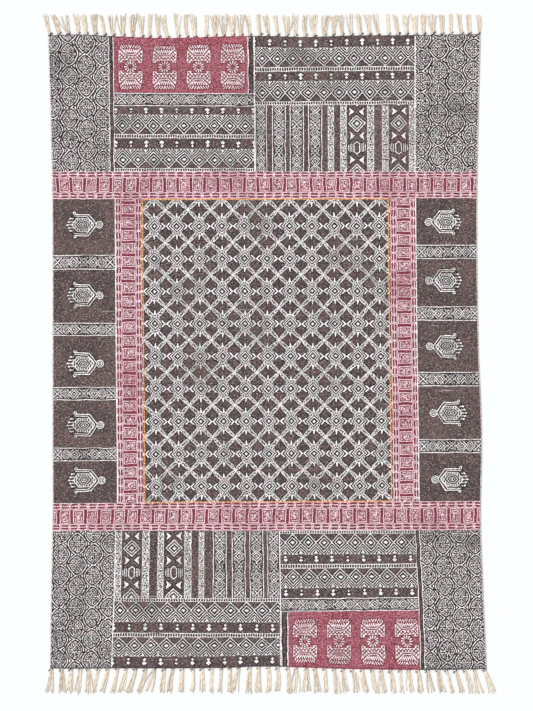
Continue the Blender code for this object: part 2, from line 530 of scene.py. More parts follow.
def stroke(x, y, start, end, half):
    """A straight line with round ends between two points."""
    run = (end[0] - start[0], end[1] - start[1])
    square = run[0] ** 2 + run[1] ** 2
    from_x, from_y = x - start[0], y - start[1]
    share = (from_x * (run[0] / square) + from_y * (run[1] / square)).clamped()
    return hypot(from_x - share * run[0], from_y - share * run[1]) - half


def crumbs(u, v, size, level):
    """Uneven marks of about this size in millimetres, fewer of them at a higher level."""
    place = vector(u.tree, u / size, v / size)
    return (level - cloud(u.tree, place, detail=1.0)) * size


def chance(field, period):
    """A random number from 0 to 1 for each repeat."""
    return random_number(field.tree, "1D", "W", (field / period + 0.5).math("FLOOR"))


# ---------------------------------------------------------------------------------------------
# The patterns. Each takes its own place u along it and v across it, in millimetres, and returns the
# shape of the pale print and the shape of the deeper ink, if it has one. A pair such as (12.9, 1.3) is
# a line's middle and its half width.
# ---------------------------------------------------------------------------------------------

DIAMOND_PITCH = 42.5
PALE_ALL_OVER = -1.0

# How much of a sum such as x + y is distance from a slanting edge.
SLANT = 0.7


def draw_nothing(u, v):
    return None, None


def draw_line(u, v):
    return PALE_ALL_OVER, None


def draw_strip(u, v):
    """A dark strip 14 mm wide between two pale lines."""
    return stripes(v, (1.1, 1.1), (13.1, 1.1)), None


def draw_drops(u, v):
    """Spades with a small diamond under each, on a band 28 mm high."""
    spade_level, spade_foot, diamond_level = 17.0, 14.6, 8.0
    x = abs(wrap(u, DIAMOND_PITCH))
    fullness = chance(u, DIAMOND_PITCH) * 2.0
    spade = shared(x * 0.9 + abs(v - spade_level) - 4.4, spade_foot - v)
    diamond = x + abs(v - diamond_level) - 3.0
    return (joined(spade, diamond) - fullness) * SLANT, None


def draw_diamond_row(u, v):
    """Nested diamonds on a band 54 mm high, with zigzags above them and dark triangles below."""
    diamond_level, shaft_level, fin_level, teeth_level = 23.0, 48.5, 47.0, 51.0
    x = abs(wrap(u, DIAMOND_PITCH))
    height = v - diamond_level
    reach = x + abs(height)
    heart = x * 0.7 + abs(height) - 4.2
    nest = stripes(reach, (12.9, 1.3), (21.9, 1.4))
    zigzags = shared(stripes(reach, (29.6, 1.15), (37.0, 1.15)), -height)
    aside = DIAMOND_PITCH / 2 - x
    shaft = box(aside, v - shaft_level, 1.4, 5.0)
    fins = shared(stripe(v - aside, fin_level, 1.4), aside - 6.0)
    teeth = shared(fold(x, 10.6) * 1.2 + teeth_level - v, 8.0 - aside)
    return joined(joined(heart, nest, zigzags, fins) * SLANT, shaft, teeth), None


def draw_ladder(u, v):
    """Two pale lines with short ticks between them, 11.5 mm high in all."""
    tick_pitch = 6.7
    rails = stripes(v, (1.2, 0.9), (10.3, 0.9))
    ticks = fold(u, tick_pitch) - 0.95
    return joined(rails, ticks), None


def draw_speckle(u, v):
    """A pale stripe 18 mm wide, crumbled by small dark marks."""
    sides = stripes(v, (0.8, 0.8), (17.2, 0.8))
    return joined(crumbs(u, v, size=3.4, level=0.50), sides), None


def draw_figures(u, v):
    """A column 57 mm wide: nested diamonds and long hexagons in turn, with arrowheads between."""
    unit, middle = 134.0, 28.5
    aside = abs(v - middle)
    from_diamond = fold(u, unit)
    nest = stripes(from_diamond + aside, (22.4, 1.8), (14.0, 1.8), (0.0, 5.8)) * SLANT

    from_heads = abs(from_diamond - unit / 4)
    heads = shared(from_heads * 0.8 - (aside - 6.0) * 0.62, aside - 17.5 - from_heads * 0.3)

    from_hexagon = unit / 2 - from_diamond
    hexagon = shared(aside - 9.0, (from_hexagon + aside * 0.86 - 19.0) * 0.75)
    long_bars = shared(stripes(aside, (14.0, 0.9), (18.8, 0.9)), from_hexagon - 12.0)
    short_bar = box(aside - 23.6, from_hexagon, 0.9, 8.5)
    return joined(nest, heads, rimmed(hexagon, 1.3), long_bars, short_bar), None


def draw_lace(u, v):
    """A dense mirrored stripe 38 mm wide: crossings, flowers, diamonds and moths between lines."""
    repeat, middle, flower_at, diamond_at = 146.5, 19.0, 23.5, 45.5
    along = fold(u, repeat)
    aside = abs(v - middle)
    inside = aside - 13.4
    rails = stripe(aside, 17.7, 1.15)

    slant = along - aside
    crossing = joined(stripes(slant, (0.0, 1.7), (-7.6, 1.1)), shared(slant + 10.0, aside - 14.0))
    crossing = shared(crossing, along - 13.5)

    from_flower = abs(along - flower_at)
    flower_reach = hypot(from_flower, aside)
    petals = shared(stripe(flower_reach, 6.4, 3.2), fold(from_flower - aside, 5.8) - 1.2)
    flower = joined(petals, stripe(from_flower + aside, 14.6, 1.2), flower_reach - 1.8)

    diamond = stripes(abs(along - diamond_at) + aside, (16.0, 1.5), (8.8, 1.5), (0.0, 2.6))

    from_moth = repeat / 2 - along
    wings = shared(aside + 6.6 - from_moth, from_moth - 10.5)
    moth = shared(joined(stripe(from_moth - aside, 0.0, 1.2), wings), from_moth - 12.5)

    # Around the figures the block is cut into crumbs, and a dark line is left along each side.
    figures = joined(crossing, flower, diamond, moth) * 0.85 + 0.15
    ground = without(crumbs(along, aside, size=3.2, level=0.63), figures - 1.7)
    return joined(shared(joined(figures, ground), inside), rails), None


def draw_ogee(u, v):
    """Wavy ogee lines round medallions that stand in columns, every other one half a step down."""
    column, step, flatness = 45.6, 58.6, 0.84

    def medallion(x, y):
        """How far out a place lies, on outlines between a diamond's and an ellipse's."""
        power = 1.45
        total = abs(x).math("POWER", power) + abs(y * flatness).math("POWER", power)
        return total.math("POWER", 1 / power)

    x_one, y_one = wrap(u, 2 * column), wrap(v, step)
    x_two, y_two = wrap(u + column, 2 * column), wrap(v + step / 2, step)
    reach_one, reach_two = medallion(x_one, y_one), medallion(x_two, y_two)
    first = reach_one.math("LESS_THAN", reach_two)
    x = abs(x_two + (x_one - x_two) * first)
    y = y_two + (y_one - y_two) * first
    reach = joined(reach_one, reach_two)

    # The lines are broken here and there, and the places where three medallions meet are pale.
    lines = shared(stripes(reach, (25.2, 1.15), (19.2, 0.8)), crumbs(v, u, size=6.0, level=0.385))
    pockets = 29.9 - reach

    # Each medallion holds two rings of worn petals, with crumbs among them.
    turn = (y * flatness).math("ARCTAN2", x)
    outer_petals = shared(stripe(reach, 14.6, 2.6), fold(turn, math.pi / 8) * reach - 1.15)
    inner_petals = shared(stripe(reach, 7.4, 3.2), fold(turn, math.pi / 4) * reach - 1.3)
    filling = joined(outer_petals, inner_petals, reach - 1.6, crumbs(u, v, size=2.9, level=0.70))
    middle = shared(filling, crumbs(v, u, size=4.4, level=0.425), reach - 18.6)
    return joined(lines, pockets, middle), None


def draw_field(u, v):
    """Nested diamonds in rows, joined by a lattice of double bands that cross between them."""
    across, along = 62.3, 89.9
    x, y = abs(wrap(u, across)), abs(wrap(v, along))
    reach = x + y
    nest = stripes(reach, (0.0, 4.2), (12.3, 1.5), (19.6, 1.4))
    tips = shared(stripe(reach, 28.8, 2.4), y - 9.0)
    ticks = shared(stripe(reach, 24.6, 2.2), fold(x, 4.8) - 1.0, x - y - 6.0)
    rim = shared(stripe(reach, 28.6, 0.8), x - y)
    spikes = shared(x + y * 0.17 - 7.2, stripe(y, 30.5, 6.5))
    diamonds = joined(nest, tips, rim) * SLANT

    # The bands narrow towards the places where they cross.
    from_crossing = abs(x - across / 2) + abs(y - along / 2)
    band_half = (from_crossing * 0.22 + 0.8).math("MINIMUM", 4.2)
    off_band = abs(y - x - (along - across) / 2) * SLANT
    lines = abs(off_band - band_half) - 0.85
    weft = shared(off_band - band_half + 1.2, crumbs(u, v, size=3.2, level=0.50))
    bands = shared(joined(lines, weft), 28.5 - reach)
    slot = shared(off_band - 1.2, stripe(reach, 43.0, 6.5))
    crossing = (from_crossing - 3.6) * SLANT
    return joined(diamonds, ticks, spikes, without(bands, slot), crossing), None


def draw_red_band(u, v):
    """A frame 77 mm wide: boxes full of scrawls in a row, with two rows of dashes on either side."""
    pitch, middle, link_pitch = 37.0, 39.5, 24.7
    x, y = wrap(u, pitch), v - middle
    outline = rimmed(box(x, y, 14.6, 18.6), 1.2)
    inner = box(x, y, 9.4, 13.6)
    scrawl = shared(inner + 3.9, crumbs(u, v, size=4.8, level=0.47))
    loops = shared(rimmed(inner, 1.2), crumbs(v, u, size=6.0, level=0.42))

    out = abs(y)
    beside = fold(u, link_pitch)
    threads = stripes(out, (21.4, 1.2), (29.4, 1.3), (37.2, 1.3))
    links = shared(stripe(beside - abs(out - 29.4) * 0.5, 0.0, 1.2), stripe(out, 29.4, 7.4))
    gaps = shared(pitch / 2 - 2.2 - abs(x), out - 18.6)
    dashes = shared(stripes(out, (25.4, 1.3), (33.4, 1.3)), 4.0 - beside)
    return joined(outline, scrawl, loops, threads, links), joined(gaps, dashes)


def draw_red_panel(u, v):
    """Tall hourglass figures with a rosette at the waist, 94 mm apart on a panel 153 mm high."""
    pitch, waist = 94.2, 72.5
    x, y = abs(wrap(u, pitch)), abs(v - waist)
    disc = hypot(x, y)
    turn = y.math("ARCTAN2", x)
    rosette = shared(stripe(disc, 11.4, 4.8), (fold(turn, math.pi / 6) - 0.115) * disc)

    # A fan of ticks that opens away from the waist, and rows of beads that fold round it.
    slant = (x - 11.0 - (y - 33.0)) * SLANT
    fan = shared(slant, 33.4 - y, y - 61.0, x - 28.5, (x + y - 87.5) * SLANT)
    ray = x * 75.0 / (y + 14.0)
    ticks = joined(
        shared(fold(ray - y * 0.55, 7.4) - 1.5, fold(y - 57.0, 14.4) - 4.6),
        shared(fold(ray + y * 0.55, 7.4) - 1.5, fold(y - 46.0, 30.0) - 4.2),
        stripe(y, 34.4, 1.0),
        rimmed(slant, 1.2),
    )
    block = shared(x - 32.4, y - 46.0, 17.8 - y)
    feet = shared(stripe(x, 27.0, 5.4), stripe(y, 16.0, 4.4))
    wing = without(joined(block, feet), shared(slant - 3.6, 30.2 - y))
    down, up = fold((x - y) * SLANT + 1.0, 7.0), fold((x + y) * SLANT, 7.0)
    beads = joined(shared(down - 2.2, up - 2.0), rimmed(wing, 0.8))
    return joined(rosette, shared(fan, ticks), shared(wing, beads)), None


def draw_figure(u, v):
    """A block of a stylised lamp: a ring, two folded arms, a nested body and a row of drops."""
    ring_at, body_at, drop_at, drop_pitch = 42.0, -5.0, -47.5, 8.6
    y = abs(v)
    ring = hypot(u - ring_at, y)
    head = joined(stripe(ring, 9.2, 1.2), stripe(ring, 4.8, 1.0), ring - 1.6)
    neck = stroke(u, y, (33.0, 2.0), (13.0, 29.0), 1.2)
    shoulder = stroke(u, y, (26.0, 2.0), (7.0, 25.0), 1.0)
    arms = joined(
        stroke(u, y, (13.0, 29.5), (-24.0, 29.5), 1.3),
        stroke(u, y, (7.0, 24.5), (-28.0, 24.5), 1.0),
        stripe(hypot(u + 27.0, y - 32.5), 3.2, 1.1),
    )
    reach = most(y * 1.24, abs(u - body_at) * 0.75 + y * 0.62)
    body = stripes(reach, (22.8, 1.0), (16.4, 0.8), (11.0, 0.8), (5.8, 0.7), (0.0, 2.2))
    ribs = shared(stripe(reach, 19.8, 2.4), fold(u, 6.4) - 1.0)
    stems = shared(fold(y, drop_pitch) - 0.9, u + 30.0, y * 0.5 - u - 46.0, y - 24.0)
    drops = shared(hypot(u - drop_at - y * 0.5, fold(y, drop_pitch)) - 2.6, y - 22.0)
    return joined(head, neck, shoulder, arms, body, ribs, stems, drops), None


# How each pattern is drawn, the height that it is drawn for, where it fills its zone, and its inks.
Pattern = namedtuple("Pattern", "draw height inks")
PATTERNS = {
    "plain": Pattern(draw_nothing, None, "brown"),
    "line": Pattern(draw_line, None, "brown"),
    "strip": Pattern(draw_strip, 14.2, "black"),
    "drops": Pattern(draw_drops, 28.0, "brown"),
    "diamond_row": Pattern(draw_diamond_row, 54.0, "brown"),
    "ladder": Pattern(draw_ladder, 11.5, "black"),
    "speckle": Pattern(draw_speckle, 18.0, "brown"),
    "figures": Pattern(draw_figures, 57.0, "brown"),
    "lace": Pattern(draw_lace, 38.0, "black"),
    "ogee": Pattern(draw_ogee, None, "black"),
    "field": Pattern(draw_field, None, "brown"),
    "figure": Pattern(draw_figure, None, "brown"),
    "red_band": Pattern(draw_red_band, 77.0, "red"),
    "red_panel": Pattern(draw_red_panel, None, "rose"),
    "selvedge": Pattern(draw_nothing, None, "natural"),
    "underside": Pattern(draw_nothing, None, "natural"),
}


# ---------------------------------------------------------------------------------------------
# Materials.
# ---------------------------------------------------------------------------------------------

# The inks' colours, which are linear, as all the colours here are: the ground where it is fresh and
# where it is worn, the darker lines, and the pale print.
Inks = namedtuple("Inks", "ground worn deep pale")
INKS = {
    "brown": Inks((0.084, 0.064, 0.063), (0.148, 0.101, 0.095), (0.014, 0.010, 0.011), (0.985, 0.94, 0.93)),
    "black": Inks((0.066, 0.046, 0.046), (0.126, 0.083, 0.080), (0.018, 0.010, 0.011), (0.985, 0.93, 0.925)),
    "red": Inks((0.28, 0.071, 0.094), (0.37, 0.124, 0.155), (0.205, 0.036, 0.056), (0.87, 0.67, 0.71)),
    "rose": Inks((0.275, 0.066, 0.089), (0.365, 0.119, 0.150), (0.14, 0.014, 0.028), (0.99, 0.85, 0.87)),
    "natural": Inks((0.60, 0.55, 0.49), (0.66, 0.61, 0.55), (0.5, 0.45, 0.4), (0.7, 0.65, 0.6)),
}

# The yarns' pitch, in millimetres, and how far the weave bends.
WARP_PITCH = 3.4
PICK_PITCH = 2.1
WEAVE_BEND = 1.6

# How far the hand-set blocks wander, in millimetres.
BLOCK_WANDER = 5.0


def new_group(name, inputs, outputs):
    """Makes an empty node group with these sockets, each given as a name and its kind."""
    tree = bpy.data.node_groups.new(name, "ShaderNodeTree")
    for in_out, sockets in (("INPUT", inputs), ("OUTPUT", outputs)):
        for label, kind in sockets:
            tree.interface.new_socket(label, in_out=in_out, socket_type=kind)
    return tree, tree.nodes.new("NodeGroupInput"), tree.nodes.new("NodeGroupOutput")


def group_node(tree, group):
    node = tree.nodes.new("ShaderNodeGroup")
    node.node_tree = group
    return node


def map_place(tree, name):
    """Both numbers of a UV map, as fields."""
    uv = tree.nodes.new("ShaderNodeUVMap")
    uv.uv_map = name
    split = tree.nodes.new("ShaderNodeSeparateXYZ")
    tree.links.new(uv.outputs["UV"], split.inputs[0])
    return Field(tree, split.outputs["X"]), Field(tree, split.outputs["Y"])


def vector(tree, x, y):
    node = tree.nodes.new("ShaderNodeCombineXYZ")
    give(tree, node.inputs["X"], x)
    give(tree, node.inputs["Y"], y)
    return node.outputs[0]


def noise(tree, place, scale=1.0, detail=2.0, roughness=0.5):
    """A noise texture's node on a flat place."""
    node = tree.nodes.new("ShaderNodeTexNoise")
    node.noise_dimensions = "2D"
    node.inputs["Scale"].default_value = scale
    node.inputs["Detail"].default_value = detail
    node.inputs["Roughness"].default_value = roughness
    tree.links.new(place, node.inputs["Vector"])
    return node


def cloud(tree, place, **settings):
    """A noise's value, which lies round a half."""
    return Field(tree, noise(tree, place, **settings).outputs[0])


def random_number(tree, kind, label, place):
    """A random number from 0 to 1 for each value of a place."""
    node = tree.nodes.new("ShaderNodeTexWhiteNoise")
    node.noise_dimensions = kind
    give(tree, node.inputs[label], place)
    return Field(tree, node.outputs["Value"])


def bump(tree, height, strength, distance):
    """The direction of a surface with this relief."""
    node = tree.nodes.new("ShaderNodeBump")
    node.inputs["Strength"].default_value = strength
    node.inputs["Distance"].default_value = distance
    give(tree, node.inputs["Height"], height)
    return node.outputs[0]


def mixed(tree, share, first, second, blend="MIX"):
    """A mix of two colours, where share is how much of the second there is."""
    node = tree.nodes.new("ShaderNodeMix")
    node.data_type = "RGBA"
    node.blend_type = blend
    give(tree, node.inputs["Factor"], share)
    for label, colour in (("A", first), ("B", second)):
        slot = next(s for s in node.inputs if s.name == label and s.type == "RGBA")
        give(tree, slot, colour)
    return next(s for s in node.outputs if s.type == "RGBA")


def opaque(colour):
    return (*colour, 1.0)


def grey(tree, field):
    """A grey of this brightness."""
    node = tree.nodes.new("ShaderNodeCombineColor")
    for label in ("Red", "Green", "Blue"):
        give(tree, node.inputs[label], field)
    return node.outputs[0]


def eased(field, low, high):
    """Zero below low and one above high, with a smooth step between."""
    node = field.tree.nodes.new("ShaderNodeMapRange")
    node.interpolation_type = "SMOOTHSTEP"
    give(field.tree, node.inputs["Value"], field)
    node.inputs["From Min"].default_value = low
    node.inputs["From Max"].default_value = high
    return Field(field.tree, node.outputs[0])


def make_hand_place():
    """Where a point lies on its pattern, in millimetres, with the wander of a hand-set block."""
    tree, _, out = new_group("hand_place", [], [("U", "NodeSocketFloat"), ("V", "NodeSocketFloat")])
    u, v = map_place(tree, "Print")
    x, y = map_place(tree, "Weave")
    wander = noise(tree, vector(tree, x, y), scale=26.0, detail=1.5)
    split = tree.nodes.new("ShaderNodeSeparateColor")
    tree.links.new(wander.outputs["Color"], split.inputs[0])
    for label, place, channel in (("U", u, "Red"), ("V", v, "Green")):
        moved = place + (Field(tree, split.outputs[channel]) - 0.5) * BLOCK_WANDER
        give(tree, out.inputs[label], moved)
    return tree


def make_weave():
    """The weft-faced weave: its height, a random number for each float of yarn, and its grooves."""
    outputs = [(label, "NodeSocketFloat") for label in ("Height", "Grain", "Groove")]
    tree, _, out = new_group("weave", [], outputs)
    x, y = map_place(tree, "Weave")
    bend = (cloud(tree, vector(tree, x, y), scale=70.0, detail=1.0) - 0.5) * WEAVE_BEND
    across = (x / MM + bend) / WARP_PITCH
    pick = (y / MM + bend) / PICK_PITCH
    row = pick.math("FLOOR")
    shifted = across + row.math("PINGPONG", 1.0) * 0.5
    grain = random_number(tree, "2D", "Vector", vector(tree, shifted.math("FLOOR"), row))
    hump = fold(shifted, 1.0) * 2.0
    crest = fold(pick, 1.0) * 2.0
    height = (hump * math.pi / 2).math("SINE") * 0.45 + (crest * math.pi / 2).math("SINE") * 0.55
    for label, value in (("Height", height), ("Grain", grain), ("Groove", joined(hump, crest))):
        give(tree, out.inputs[label], value)
    return tree


def filled(shape):
    """One inside a shape and zero outside it, with an edge half a millimetre wide."""
    return (shape * -2.0 + 0.5).clamped()


def make_printed_cotton(weave):
    """Ink on woven cotton. Pale and Deep are shapes in millimetres, and the rest are its colours."""
    floats = [("Pale", "NodeSocketFloat"), ("Deep", "NodeSocketFloat")]
    colours = [(label, "NodeSocketColor") for label in ("Ground", "Worn", "Deep Ink", "Pale Ink")]
    outputs = [
        ("Colour", "NodeSocketColor"),
        ("Roughness", "NodeSocketFloat"),
        ("Normal", "NodeSocketVector"),
    ]
    tree, given, out = new_group("printed_cotton", floats + colours, outputs)
    woven = group_node(tree, weave)
    height, grain, groove = [Field(tree, woven.outputs[k]) for k in ("Height", "Grain", "Groove")]
    x, y = map_place(tree, "Weave")
    tone, _ = map_place(tree, "Batch")
    place = vector(tree, x, y)
    fray = cloud(tree, place, scale=330.0, detail=1.0) - 0.5
    patches = cloud(tree, place, scale=7.0, detail=5.0, roughness=0.62)
    mottle = cloud(tree, vector(tree, x * 210.0, y * 320.0)) - 0.5
    streaks = cloud(tree, vector(tree, x * 5.0, y * 160.0), detail=3.0)

    # The print's edge is ragged by the yarn.
    edge = fray * 1.5 + (grain - 0.5) * 0.4
    shape = Field(tree, given.outputs["Pale"]) + edge
    pale = filled(shape)
    deep = filled(Field(tree, given.outputs["Deep"]) + edge)

    # The block squeezes its ink out along the edges of each pale line, and the ground takes unevenly.
    squeezed = (1.0 - eased(shape, 0.8, 3.8)) * 0.95
    mixed_in = mottle * 1.1 + (grain - 0.5) * 0.4 + (tone - 0.5) * 0.16
    worn = eased(patches + mixed_in, 0.36, 0.66)
    ground = mixed(tree, worn, given.outputs["Ground"], given.outputs["Worn"])
    ground = mixed(tree, most(deep, squeezed), ground, given.outputs["Deep Ink"])
    cover = pale * (grain * 0.18 + 0.86) * (1.0 - eased(patches, 0.45, 0.78) * 0.42)
    colour = mixed(tree, cover, ground, given.outputs["Pale Ink"])

    # Bare specks on the crowns of the yarn, and long faint rubs along the wefts.
    specks = eased(grain * 0.5 + mottle * 1.6 + fray * 0.6, 0.50, 0.80) * 0.16
    rubs = eased(streaks, 0.70, 0.82) * eased(patches, 0.42, 0.60) * 0.42
    colour = mixed(tree, (specks + rubs).math("MINIMUM", 0.6), colour, given.outputs["Pale Ink"])

    # The grooves of the weave are painted darker as shade, each float of yarn and the mottling vary at
    # random in tone, and the dye is a little warmer in some places than in others.
    groove_shade_and_tone = grey(tree, groove * 0.18 + grain * 0.54 + mottle * 1.3 + 0.62)
    warmth = cloud(tree, place, scale=45.0, detail=3.0)
    tint = mixed(tree, warmth, opaque((0.80, 1.0, 0.88)), opaque((1.20, 1.0, 1.12)))
    for factor in (groove_shade_and_tone, tint):
        colour = mixed(tree, 1.0, colour, factor, blend="MULTIPLY")

    give(tree, out.inputs["Colour"], colour)
    give(tree, out.inputs["Roughness"], 0.94 - pale * 0.07 - grain * 0.06)
    give(tree, out.inputs["Normal"], bump(tree, height, strength=0.55, distance=0.5 * MM))
    return tree


def new_material(name):
    material = bpy.data.materials.new(name)
    material.use_nodes = True
    return material, material.node_tree, material.node_tree.nodes["Principled BSDF"]


def set_gloss(shader, specular, sheen):
    """The low gloss and the soft sheen of cotton."""
    shader.inputs["Specular IOR Level"].default_value = specular
    shader.inputs["Sheen Weight"].default_value = sheen
    shader.inputs["Sheen Roughness"].default_value = 0.5


# A shape that covers nothing: everywhere is this far outside it.
OUTSIDE = 50.0


def make_printed(name, pattern, hand_place, cotton):
    """The material of one pattern."""
    material, tree, shader = new_material("print_" + name)
    inks = INKS[pattern.inks]
    placed_node = group_node(tree, hand_place)
    u, v = (Field(tree, placed_node.outputs[label]) for label in ("U", "V"))
    pale, deep = pattern.draw(u, v)
    finish = group_node(tree, cotton)
    give(tree, finish.inputs["Pale"], OUTSIDE if pale is None else pale)
    give(tree, finish.inputs["Deep"], OUTSIDE if deep is None else deep)
    for label, colour in zip(("Ground", "Worn", "Deep Ink", "Pale Ink"), inks):
        finish.inputs[label].default_value = opaque(colour)
    for label, source in (("Base Color", "Colour"), ("Roughness", "Roughness"), ("Normal", "Normal")):
        tree.links.new(finish.outputs[source], shader.inputs[label])
    set_gloss(shader, specular=0.10, sheen=0.04)
    return material


def make_yarn(name, tints, stains=None):
    """Spun cotton yarn: fibres along its twist, a painted highlight along the top of each tube with painted
    shade on its sides, and dye near the cloth where stains are given.
    """
    material, tree, shader = new_material(name)
    along, around = map_place(tree, "Yarn")
    stain, redness = map_place(tree, "Stain")
    tone, _ = map_place(tree, "Tone")
    fibre = cloud(tree, vector(tree, along * 60.0, around * 3.0 + along * 120.0))
    # Painted highlight and shade: the top of each tube is lighter and its sides and underside darker, as if
    # lit from above.
    painted_light_and_shade = ((around - 0.25) * 2 * math.pi).math("COSINE") * 0.5 + 0.5
    light = fibre * 0.5 + painted_light_and_shade * 0.35 + tone - 0.5
    colour = mixed(tree, light.clamped(), opaque(tints[0]), opaque(tints[1]))
    if stains:
        dye = mixed(tree, redness, opaque(stains[0]), opaque(stains[1]))
        colour = mixed(tree, eased(stain + (fibre - 0.5) * 0.9, 0.30, 0.70), colour, dye)
    give(tree, shader.inputs["Base Color"], colour)
    give(tree, shader.inputs["Roughness"], 0.95 - fibre * 0.15)
    give(tree, shader.inputs["Normal"], bump(tree, fibre, strength=0.4, distance=0.2 * MM))
    set_gloss(shader, specular=0.25, sheen=0.15)
    return material


# ---------------------------------------------------------------------------------------------
# The cloth.
# ---------------------------------------------------------------------------------------------

# Where the four long lines of the print lie on the straight layout, in metres.
STATIONS = [LEFT * MM, INNER_LEFT * MM, INNER_RIGHT * MM, RIGHT * MM]

# Within this far of an end, the print follows the end's own uneven edge.
END_FADE = 0.100

# The grid of the cloth, in millimetres: lines nearer than the first are one, and none are further
# apart than the second. The edge of the cloth is thinner than the rest over the width of the rim.
SNAP = 1.6
LARGEST_STEP = 12.0
RIM = 2.6
RIM_THICKNESS = 0.0016
RIPPLE_HEIGHT = 0.0009

# The printed face fills this share of the map for baking, and the rest starts just above it.
FACE_SHARE = 0.95
REST_START = 0.96
PLAIN_TONE = 0.5


def smooth(share):
    share = min(max(share, 0.0), 1.0)
    return share * share * (3 - 2 * share)


class Warp:
    """Carries a point of the straight layout to where it lies on the hand-woven rug."""

    def __init__(self):
        self.known = {}

    def stations(self, along):
        """Where the four long lines of the print lie, at a place along the rug."""
        key = round(along, 4)
        if key not in self.known:
            self.known[key] = [
                side_edge("left", key),
                between(INNER_LINES, "along", "left", key),
                between(INNER_LINES, "along", "right", key),
                side_edge("right", key),
            ]
        return self.known[key]

    def across(self, x, along):
        part = 0 if x < STATIONS[1] else 1 if x < STATIONS[2] else 2
        share = (x - STATIONS[part]) / (STATIONS[part + 1] - STATIONS[part])
        real = self.stations(along)
        return real[part] + (real[part + 1] - real[part]) * share

    def __call__(self, x_mm, y_mm):
        x, y = x_mm * MM, y_mm * MM
        rise = [between(RISES, "along", column, y) for column in ("left", "middle", "right")]
        side, station = (rise[0], STATIONS[0]) if x < 0.0 else (rise[2], STATIONS[3])
        along = y + rise[1] + (side - rise[1]) * (x / station)
        end = END * MM
        fade = smooth((abs(y) - end + END_FADE) / END_FADE)
        column = "top" if y > 0.0 else "bottom"
        edge = end_edge(column, self.across(x, along))
        along += (edge - math.copysign(end, y)) * fade
        return self.across(x, along) + SHIFT[0], along + SHIFT[1]


def ripple(x, y):
    """How far the laid cloth stands off the floor at a place: a slow swell and a quicker one."""
    slow = math.sin(x * 5.1 + 1.2) * math.sin(y * 4.3 - 0.6)
    quick = math.sin(x * 11.3 + y * 2.2) * math.sin(y * 8.7 - x * 3.1 + 2.0)
    return RIPPLE_HEIGHT * max(0.0, 0.45 + 0.6 * slow + 0.35 * quick)


def grid_lines(places):
    """Merges places that nearly meet, and cuts wide gaps between them into equal steps."""
    merged = {}
    group = []
    for place in sorted(set(places)) + [math.inf]:
        if group and place - group[0] > SNAP:
            kept = max(group, key=abs)
            merged.update({member: kept for member in group})
            group = []
        group.append(place)
    kept = sorted(set(merged.values()))
    lines = [kept[0]]
    for start, end in zip(kept, kept[1:]):
        count = max(1, math.ceil((end - start) / LARGEST_STEP))
        lines += [start + (end - start) * i / count for i in range(1, count + 1)]
    return lines, merged


def snapped(item, merged_x, merged_y):
    area = item.area
    fitted = Area(merged_x[area.left], merged_x[area.right], merged_y[area.low], merged_y[area.high])
    return item._replace(area=fitted)


def zone_at(x, y, laid):
    """The last zone laid over a place."""
    for item in laid:
        area = item.area
        if area.left <= x <= area.right and area.low <= y <= area.high:
            return item
    raise ValueError(f"no zone covers {x:.1f}, {y:.1f}")


def print_place(item, x, y):
    """Where a point of the layout lies in its zone's own pattern, in millimetres."""
    area = item.area
    if item.upright:
        along, aside = area.high - y, x - area.left
        span = area.right - area.left
    else:
        along, aside = x - area.left, y - area.low
        span = area.high - area.low
    if item.flipped:
        aside = span - aside
    height = PATTERNS[item.pattern].height
    if height:
        aside *= height / span
    return (along - item.start[0]) * item.stretch, aside - item.start[1]


